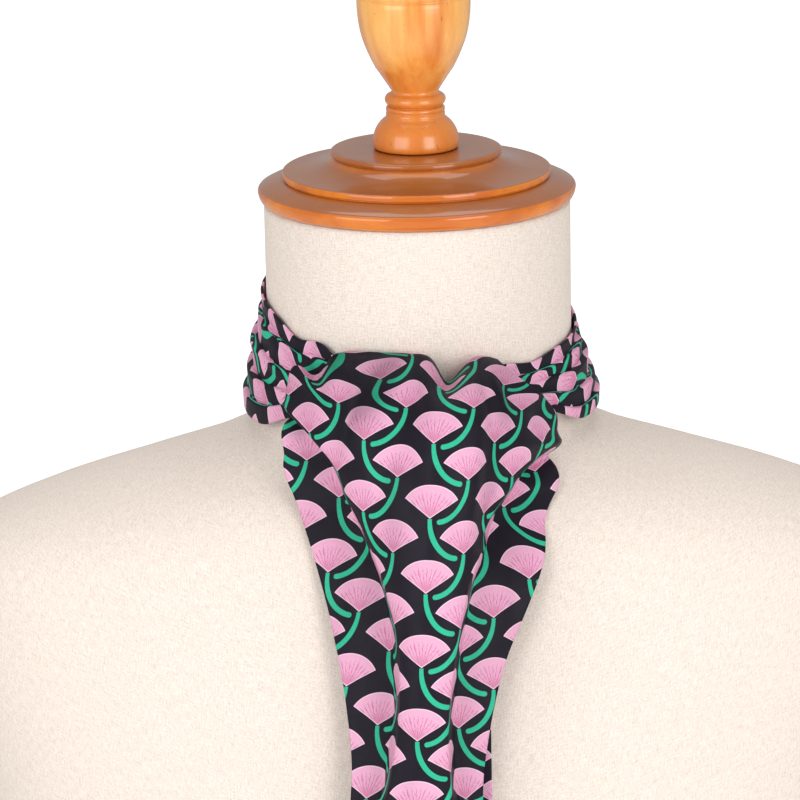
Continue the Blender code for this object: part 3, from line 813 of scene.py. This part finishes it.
def calc(operation, *values):
    """A Math node of the values, which are wires or numbers."""
    return place_node(tree_of(*values), "Math", dict(enumerate(values)),
                      operation=operation)


def distance(x, y):
    """sqrt(x * x + y * y)."""
    return calc("SQRT", x * x + y * y)


def smooth_step(value, low, high):
    """0 below low and 1 above high, softly."""
    return place_node(value.tree, "MapRange",
                      {"Value": value, "From Min": low, "From Max": high},
                      interpolation_type="SMOOTHSTEP")


def mix_colour(factor, first, second):
    """The first colour where the factor is 0, the second where it is 1."""
    colour_a, colour_b, colour_out = 6, 7, 2  # a Mix node's sockets for colours
    return place_node(tree_of(factor, first, second), "Mix",
                      {"Factor": factor, colour_a: first, colour_b: second},
                      colour_out, data_type="RGBA")


def noise(place, scale, detail=2.0, roughness=0.5, stretch=None):
    """A Noise Texture's value at a place, after a stretch along its axes."""
    if stretch is not None:
        place = place_node(place.tree, "Mapping", {"Vector": place, "Scale": stretch})
    return place_node(place.tree, "TexNoise", {
        "Vector": place, "Scale": scale, "Detail": detail, "Roughness": roughness}, "Fac")


def bump(height, strength, reach, **normal):
    """The normal over a height, laid on another normal where one is given."""
    return place_node(height.tree, "Bump", {
        "Height": height, "Strength": strength, "Distance": reach, **normal})


def axes(place):
    """The x, y and z of a place or a direction."""
    node = place.tree.nodes.new("ShaderNodeSeparateXYZ")
    feed(place.tree, node, {0: place})
    return [Wire(place.tree, axis) for axis in node.outputs]


def cloth_map(tree):
    """The place on the cloth, from the piece's own map, in metres."""
    return place_node(tree, "UVMap", {}, uv_map="cloth")


def coordinates(tree, kind):
    """A texture coordinate of the piece: its place (Object) or where it faces (Normal)."""
    return place_node(tree, "TexCoord", {}, kind)


def new_group(name, inputs):
    """A node group with inputs of the named kinds, and the wires that they give."""
    group = bpy.data.node_groups.new(name, "ShaderNodeTree")
    for socket, kind in inputs.items():
        group.interface.new_socket(socket, in_out="INPUT", socket_type="NodeSocket" + kind)
    given = group.nodes.new("NodeGroupInput")
    return group, [Wire(group, given.outputs[socket]) for socket in inputs]


def put_out(group, **masks):
    """Gives a node group its outputs, which are masks from 0 to 1."""
    for name in masks:
        group.interface.new_socket(name, in_out="OUTPUT", socket_type="NodeSocketFloat")
    feed(group, group.nodes.new("NodeGroupOutput"), masks)
    return group


def place_group(tree, group, values):
    """A group's masks in a material, as wires by name, with the values on its inputs."""
    node = tree.nodes.new("ShaderNodeGroup")
    node.node_tree = group
    feed(tree, node, values)
    return {mask.name: Wire(tree, mask) for mask in node.outputs}


def new_material(name):
    """A material with its node tree and its Principled shader."""
    made = bpy.data.materials.new(name)
    made.use_nodes = True
    return made, made.node_tree, made.node_tree.nodes["Principled BSDF"]


def shade(red, green, blue):
    """A linear colour from one given in display values from 0 to 255."""
    display = np.array([red, green, blue]) / 255.0
    linear = np.where(display <= 0.04045, display / 12.92, ((display + 0.055) / 1.055) ** 2.4)
    return (*[float(part) for part in linear], 1.0)


# ---- printed silk
# The print, in centimetres of cloth: columns of fan flowers, every other one half a
# repeat lower with its stems curving the other way
PRINT_PERIOD_ACROSS = 2.91
PRINT_PERIOD_DOWN = 2.835
PRINT_FIRST_FLOWER = 4.52  # where the middle column's first flower has its point
FAN_HALF_WIDTH = 1.06
FAN_CORNER_HEIGHT = 0.69
FAN_ARC_CENTRE = 0.06
FAN_ARC_RADIUS = 1.235
FAN_SIDE_CURVE = 1.13
FAN_SIDE_SLANT = 0.62  # distance from the fan's side, per distance across
FAN_EDGE = 0.016  # softness of its outline
FAN_MARGIN = 0.06  # room beside and above a fan before its cell ends
FAN_HEADROOM = 0.1
RIM_ENDS = (0.022, 0.055)  # depths inside the outline over which the pale rim ends
HEART_RADIUS = 0.75  # reach of the deep colour round the fan's point
VEINS_PER_RADIAN = 37.0
TWIGS_PER_VEIN = 2.3
VEIN_ROOT = 0.06  # how far below the fan's point the veins meet
VEIN_WOBBLE = 0.16
VEIN_BREAKS = 0.7  # how much a vein's width varies along it
VEIN_START = (0.06, 0.24)  # distances from the point where veins set in, and where they end
VEIN_END = (1.12, 1.34)
STEM_REACH = 1.22
STEM_FALL = 1.55
STEM_END_ANGLE = 84.0
STEM_HALF_WIDTH = 0.100
STEM_NECK_SHARE = 0.78  # its width at the fan's point, which it leaves over STEM_NECK
STEM_NECK = 0.8
STEM_EDGE = (-0.006, 0.010)
STEM_START_EDGE = (-0.01, 0.01)
TINY = 0.0001  # keeps a root and a divisor away from 0

FAN_PINK = shade(228, 170, 199)
FAN_DEEP = shade(190, 92, 136)
FAN_RIM = shade(250, 218, 234)
STEM_GREEN = shade(56, 194, 154)
STEM_DARK = shade(26, 128, 98)
SILK_GROUND = shade(27, 24, 33)
SILK_GROUND_LIT = shade(37, 33, 44)
# colour of the painted shade in the folds' valleys and near the roll
SILK_SHADOW = shade(14, 12, 18)
BLACK = (0.0, 0.0, 0.0, 1.0)
# how strongly a mask's tone covers what is below it
FAN_TONES = [("Heart", 0.62, FAN_DEEP), ("Vein", 0.78, FAN_DEEP), ("Rim", 0.85, FAN_RIM)]
GREEN_EVENNESS = 0.6
TWILL_DEPTH = 0.10
PAINTED_SHADE_STRENGTH = 0.5  # how far the painted shade darkens a fold's deepest valley and the cloth near the roll
TWILL_SCALE = 7.0  # a quarter of a millimetre from line to line
SILK_SHEEN_TINT = (0.85, 0.82, 0.95, 1.0)


def flower_group():
    """One flower of the print, about its point: x towards its stem's end, y up, in cm.

    The fan is where |x| < W (y / H) ^ c holds inside a circle above the point. The stem is a
    band along a quarter ellipse that starts at the point. It has a height of its own,
    because it ends beside the next fan.
    """
    group, (x, y, stem_y) = new_group(
        "fan_flower", {"Across": "Float", "Fan Up": "Float", "Stem Up": "Float"})
    rise = calc("MAXIMUM", y, TINY)
    side = FAN_HALF_WIDTH * calc("POWER", rise / FAN_CORNER_HEIGHT, FAN_SIDE_CURVE)
    from_side = FAN_SIDE_SLANT * (side - calc("ABSOLUTE", x))
    from_arc = FAN_ARC_RADIUS - distance(x, y - FAN_ARC_CENTRE)
    inside = calc("MINIMUM", from_side, from_arc)
    # the veins run along angle * VEINS_PER_RADIAN, wobbling, with broken twigs between them
    radius = distance(x, y)
    spot = place_node(group, "CombineXYZ", {0: x, 1: y})
    turn = calc("ARCTAN2", x, rise + VEIN_ROOT) + VEIN_WOBBLE * (noise(spot, 5.0, 3.0) - 0.5)
    broken = noise(spot, 9.0, 1.0)
    line = calc("COSINE", VEINS_PER_RADIAN * turn) + VEIN_BREAKS * (broken - 0.5)
    twig = calc("COSINE", VEINS_PER_RADIAN * TWIGS_PER_VEIN * turn)
    twigs = 0.7 * smooth_step(twig, 0.2, 1.0) * smooth_step(broken, 0.42, 0.62)
    veins = calc("MAXIMUM", smooth_step(line, 0.62, 0.95), twigs)
    end = 1.0 - smooth_step(radius + 0.5 * broken, *VEIN_END)
    # the stem: distance to the ellipse (x - A)^2 / A^2 + y^2 / B^2 = 1
    share_x, share_y = (x - STEM_REACH) / STEM_REACH, stem_y / STEM_FALL
    ring = distance(share_x, share_y)
    slope = distance(share_x / STEM_REACH, share_y / STEM_FALL)
    gap = ring * calc("ABSOLUTE", ring - 1.0) / calc("MAXIMUM", slope, TINY)
    fall = -1.0 * stem_y
    width = STEM_HALF_WIDTH * (
        (1 - STEM_NECK_SHARE) * smooth_step(fall, 0.0, STEM_NECK) + STEM_NECK_SHARE)
    end_angle = radians(STEM_END_ANGLE)
    end_x = STEM_REACH * (1 - cos(end_angle))
    end_y = -STEM_FALL * sin(end_angle)
    band = smooth_step(width - gap, *STEM_EDGE) * smooth_step(
        fall, *STEM_START_EDGE) * calc("LESS_THAN", x, end_x)
    tip = smooth_step(STEM_HALF_WIDTH - distance(x - end_x, stem_y - end_y), *STEM_EDGE)
    return put_out(group, Fan=smooth_step(inside, 0.0, FAN_EDGE),
                   Rim=1.0 - smooth_step(inside, *RIM_ENDS),
                   Vein=veins * smooth_step(radius, *VEIN_START) * end,
                   Heart=1.0 - smooth_step(radius, 0.0, HEART_RADIUS),
                   Stem=calc("MAXIMUM", band, tip))


def print_lattice(across, up, side):
    """Distances from the nearest flower's point in every other column, for fan and stem.

    side is 1 for the columns whose stems curve right, and -1 for those half a repeat lower
    whose stems curve left.
    """
    if side < 0:
        across = -1.0 * (across - PRINT_PERIOD_ACROSS / 2)
        up = up + PRINT_PERIOD_DOWN / 2
    cells = {
        "Across": (across, -FAN_HALF_WIDTH - FAN_MARGIN, PRINT_PERIOD_ACROSS),
        "Fan Up": (up, FAN_ARC_CENTRE + FAN_ARC_RADIUS + FAN_HEADROOM - PRINT_PERIOD_DOWN,
                   PRINT_PERIOD_DOWN),
        "Stem Up": (up, -STEM_FALL - 2 * STEM_HALF_WIDTH, PRINT_PERIOD_DOWN),
    }
    return {name: calc("FLOORED_MODULO", value - low, period) + low
            for name, (value, low, period) in cells.items()}


def printed_silk():
    """Printed silk twill: the half-drop flower repeat on near-black, with a soft sheen."""
    made, tree, shader = new_material("printed_silk_twill")
    cloth = place_node(tree, "VectorMath", {0: cloth_map(tree), "Scale": 100.0},
                       operation="SCALE")
    across, up, _ = axes(cloth)
    flower = flower_group()
    right, left = [place_group(tree, flower, print_lattice(across, up + PRINT_FIRST_FLOWER, side))
                   for side in (1, -1)]

    def in_fans(name):
        return calc("MAXIMUM", right[name] * right["Fan"], left[name] * left["Fan"])

    ground = mix_colour(noise(cloth, 1.3, 3.0), SILK_GROUND, SILK_GROUND_LIT)
    green = mix_colour(noise(cloth, 9.0, 2.0), STEM_DARK, STEM_GREEN)
    green = mix_colour(GREEN_EVENNESS, green, STEM_GREEN)
    pink = FAN_PINK
    for mask, depth, tone in FAN_TONES:
        pink = mix_colour(in_fans(mask) * depth, pink, tone)
    colour = mix_colour(calc("MAXIMUM", right["Stem"], left["Stem"]), ground, green)
    colour = mix_colour(calc("MAXIMUM", right["Fan"], left["Fan"]), colour, pink)
    # the twill's lines are too fine for geometry
    twill = place_node(tree, "TexWave", {
        "Vector": cloth, "Scale": TWILL_SCALE, "Distortion": 0.6}, "Fac",
        wave_type="BANDS", bands_direction="DIAGONAL")
    colour = mix_colour(twill * TWILL_DEPTH, colour, BLACK)
    # painted shade: darker in the front blade's crease valleys and near its roll
    painted_shade = place_node(tree, "Attribute", {}, "Fac", attribute_name="painted_shade")
    colour = mix_colour(painted_shade * PAINTED_SHADE_STRENGTH, colour, SILK_SHADOW)
    slubs = noise(cloth, 1.1, 3.0, 0.55)
    feed(tree, shader, {
        "Base Color": colour, "Roughness": noise(cloth, 2.0, 2.0) * 0.10 + 0.42,
        "Specular IOR Level": 0.09, "Sheen Weight": 0.02, "Sheen Roughness": 0.35,
        "Sheen Tint": SILK_SHEEN_TINT,
        "Normal": bump(slubs, 0.35, 0.0012, Normal=bump(twill, 0.10, 0.0001))})
    return made


# ---- linen
LINEN_LIGHT = shade(239, 228, 219)
LINEN_DARK = shade(206, 191, 177)
THREADS_PER_METRE = 3000.0
SLUBS_PER_METRE = 240.0
FLECKS_PER_METRE = 1400.0
FLECK_SHARE = 0.3
BROAD_TONE = 0.12  # how far the tone wanders over some centimetres


def linen_weave():
    """Cream linen in a plain weave, with slubs along both threads."""
    made, tree, shader = new_material("cream_linen")
    cloth = cloth_map(tree)
    warp, weft = [noise(cloth, 1.0, 3.0, 0.6, stretch) for stretch in (
        (THREADS_PER_METRE, SLUBS_PER_METRE, 1.0), (SLUBS_PER_METRE, THREADS_PER_METRE, 1.0))]
    threads = 0.5 * (warp + weft)
    tone = (1 - FLECK_SHARE) * threads + FLECK_SHARE * noise(cloth, FLECKS_PER_METRE, 2.0, 0.6)
    colour = mix_colour(smooth_step(tone, 0.34, 0.62), LINEN_DARK, LINEN_LIGHT)
    colour = mix_colour(BROAD_TONE * noise(cloth, 28.0, 3.0), colour, LINEN_DARK)
    feed(tree, shader, {"Base Color": colour, "Roughness": 0.92, "Specular IOR Level": 0.2,
                        "Sheen Weight": 0.1, "Normal": bump(threads, 0.35, 0.0003)})
    return made


# ---- wood
WOOD_GOLD = shade(252, 193, 106)
WOOD_AMBER = shade(214, 116, 34)
WOOD_ORANGE = shade(232, 136, 24)
WOOD_RUST = shade(196, 96, 14)
# the cap's deeper tone: a painted reflection on its flat upper faces, and its darker top disc
WOOD_BROWN = shade(130, 80, 44)
WOOD_SPECK = shade(84, 42, 18)
LYING_GRAIN = (0.0, pi / 2, 0.0)
UPRIGHT_GRAIN = (0.0, 0.0, 0.0)
# How strongly the deeper tone covers the cap's flat faces, where it is a painted reflection,
# its top disc and the finial's foot, which are darker, and the heights over the cap's base
# between which the disc's sets in and the foot's ends
FLAT_REFLECTION, DISC_DARKENING, FOOT_DARKENING = 0.85, 0.7, 0.75
DISC_HEIGHTS = (16.6, 18.4)
FOOT_HEIGHTS = (36.0, 66.0)


def grain_group():
    """Turned wood: broad growth bands, fine fibres and small dark specks, as three masks."""
    group, (place,) = new_group("wood_grain", {"Place": "Vector"})
    bands = noise(place, 1.0, 4.0, 0.55, (70.0, 70.0, 7.0))
    fibres = noise(place, 1.0, 3.0, 0.6, (1500.0, 1500.0, 60.0))
    specks = noise(place, 1.0, 1.0, 0.5, (900.0, 900.0, 330.0))
    return put_out(group, Bands=smooth_step(bands, 0.32, 0.68), Fibres=fibres,
                   Specks=smooth_step(specks, 0.72, 0.82))


def above_cap_base(tree, heights):
    """0 below and 1 above a pair of heights in millimetres over the cap's base."""
    low, high = [(CAP_BOTTOM + height) * MM for height in heights]
    return smooth_step(axes(coordinates(tree, "Object"))[2], low, high)


def reflection_on_flats_and_top_disc(tree):
    """Mask of the cap's flat upper faces, which take a painted reflection, and of its top disc,
    which is darker.
    """
    # painted reflection: a browner tone on the faces that look up
    flat = smooth_step(axes(coordinates(tree, "Normal"))[2], 0.55, 0.92) * FLAT_REFLECTION
    return calc("MAXIMUM", flat, above_cap_base(tree, DISC_HEIGHTS) * DISC_DARKENING)


def foot_and_rings(tree):
    """Mask of the finial's lower part, which is darker than its bulb."""
    return (1.0 - above_cap_base(tree, FOOT_HEIGHTS)) * FOOT_DARKENING


def lacquered_wood(name, grain, light, dark, grain_turn, deeper_tone, deeper_where, gloss):
    """Clear-lacquered wood; grain_turn lays the fibres along another axis of the piece.

    The deeper tone after grain_turn is laid over the wood where the mask of the next argument
    says: on the cap a painted reflection on its flat upper faces and a darker top disc, on the
    finial a darker foot; gloss is the roughness of the lacquer.
    """
    made, tree, shader = new_material(name)
    here = coordinates(tree, "Object")
    laid = place_node(tree, "Mapping", {"Vector": here, "Rotation": grain_turn})
    masks = place_group(tree, grain, {"Place": laid})
    colour = mix_colour(masks["Bands"], light, dark)
    # the deeper tone: a painted reflection on the cap's flat faces, a darker top disc and foot
    colour = mix_colour(deeper_where(tree), colour, deeper_tone)
    colour = mix_colour(masks["Fibres"] * 0.35, colour, dark)
    colour = mix_colour(masks["Specks"] * 0.55, colour, WOOD_SPECK)
    feed(tree, shader, {
        "Base Color": colour, "Roughness": masks["Fibres"] * 0.15 + 0.30,
        "Specular IOR Level": 0.25, "Coat Weight": 0.9, "Coat Roughness": gloss,
        "Normal": bump(noise(here, 60.0, 2.0), 0.12, 0.0008)})
    return made


# ---- studio and camera
CAMERA_TARGET = (0.0, 0.0, 0.5018)
CAMERA_DISTANCE = 1.6
CAMERA_ELEVATION = 15.4
CAMERA_ASIDE = -0.0083
CAMERA_ROLL = -1.1
CAMERA_LENS = 178.29

ROOM_LIGHT = (1.0, 0.99, 0.98, 1.0)
ROOM_STRENGTH = 0.42
SOFTBOX_TARGET = (0.0, 0.0, 0.52)
Softbox = namedtuple("Softbox", "name place width height power")
SOFTBOXES = [
    Softbox("left_softbox", (-1.15, -1.4, 0.92), 1.3, 1.3, 19.0),
    Softbox("right_softbox", (1.05, -1.45, 0.88), 0.9, 1.3, 18.0),
    Softbox("top_softbox", (0.0, 0.25, 2.1), 1.4, 1.2, 11.0),
]
FLOOR_REACH = 30.0
FLOOR_PALE = (0.89, 0.89, 0.89, 1.0)
FLOOR_SOFT_GREY = (0.86, 0.86, 0.86, 1.0)
FLOOR_GLOW = (0.75, 0.75, 0.75, 1.0)
GLOW_STARTS, GLOW_FULL = 0.45, 1.7  # distances over which the floor brightens outwards


def add_camera():
    """The camera stands in front of the form, a little above it, and leans slightly."""
    lens = bpy.data.cameras.new("camera")
    lens.lens = CAMERA_LENS
    lens.sensor_width = 36.0
    lens.clip_end = 50.0
    camera = link(bpy.data.objects.new("camera", lens))
    tilted = Matrix.Rotation(radians(90.0 - CAMERA_ELEVATION), 4, "X")
    back = tilted @ Vector((CAMERA_ASIDE, 0.0, CAMERA_DISTANCE))
    rolled = Matrix.Rotation(radians(CAMERA_ROLL), 4, "Z")
    camera.matrix_world = Matrix.Translation(Vector(CAMERA_TARGET) + back) @ tilted @ rolled
    bpy.context.scene.camera = camera


def add_softbox(softbox):
    """A white rectangular lamp at its place, turned towards the cravat."""
    lamp = bpy.data.lights.new(softbox.name, "AREA")
    lamp.shape = "RECTANGLE"
    lamp.size, lamp.size_y = softbox.width, softbox.height
    lamp.energy = softbox.power
    made = link(bpy.data.objects.new(softbox.name, lamp))
    made.location = softbox.place
    towards = Vector(SOFTBOX_TARGET) - Vector(softbox.place)
    made.rotation_euler = towards.to_track_quat("-Z", "Y").to_euler()


def add_floor():
    """A wide pale floor, which looks brighter away from the form."""
    mesh = bpy.data.meshes.new("studio_floor")
    corners = [(FLOOR_REACH * x, FLOOR_REACH * y, 0) for x, y in
               ((-1, -1), (1, -1), (1, 1), (-1, 1))]
    mesh.from_pydata(corners, [], [(0, 1, 2, 3)])
    made, tree, shader = new_material("pale_floor")
    here = coordinates(tree, "Object")
    away = place_node(tree, "VectorMath", {0: here}, "Value", operation="LENGTH")
    seen = place_node(tree, "LightPath", {}, "Is Camera Ray")
    feed(tree, shader, {
        "Base Color": mix_colour(noise(here, 3.0, 3.0), FLOOR_SOFT_GREY, FLOOR_PALE),
        "Roughness": 0.8,
        # painted light: the floor glows to the camera alone, more the further it lies from the
        # form
        "Emission Color": mix_colour(smooth_step(away, GLOW_STARTS, GLOW_FULL) * seen,
                                     BLACK, FLOOR_GLOW),
        "Emission Strength": 1.0})
    mesh.materials.append(made)
    link(bpy.data.objects.new("studio_floor", mesh))


def add_studio():
    """A pale floor, a bright room and two tall softboxes in front, with one overhead."""
    add_floor()
    world = bpy.data.worlds.new("studio")
    world.use_nodes = True
    feed(world.node_tree, world.node_tree.nodes["Background"],
         {"Color": ROOM_LIGHT, "Strength": ROOM_STRENGTH})
    bpy.context.scene.world = world
    for softbox in SOFTBOXES:
        add_softbox(softbox)
    bpy.context.scene.view_settings.view_transform = "Standard"


# ---- assembling
CAP_LACQUER = 0.10  # roughness of the lacquer
FINIAL_LACQUER = 0.19


def main():
    silk = printed_silk()
    make_linen_form(linen_weave())
    grain = grain_group()
    make_turned_cap(lacquered_wood("lacquered_cap", grain, WOOD_ORANGE, WOOD_RUST,
                                   LYING_GRAIN, WOOD_BROWN, reflection_on_flats_and_top_disc, CAP_LACQUER))
    make_turned_finial(lacquered_wood("lacquered_finial", grain, WOOD_GOLD, WOOD_AMBER,
                                      UPRIGHT_GRAIN, WOOD_AMBER, foot_and_rings,
                                      FINIAL_LACQUER))
    band = make_silk_band(silk)
    crossing = make_silk_crossing(silk)
    under = make_silk_under_blade(silk)
    front = make_silk_front_blade(silk)
    add_camera()
    add_studio()


main()
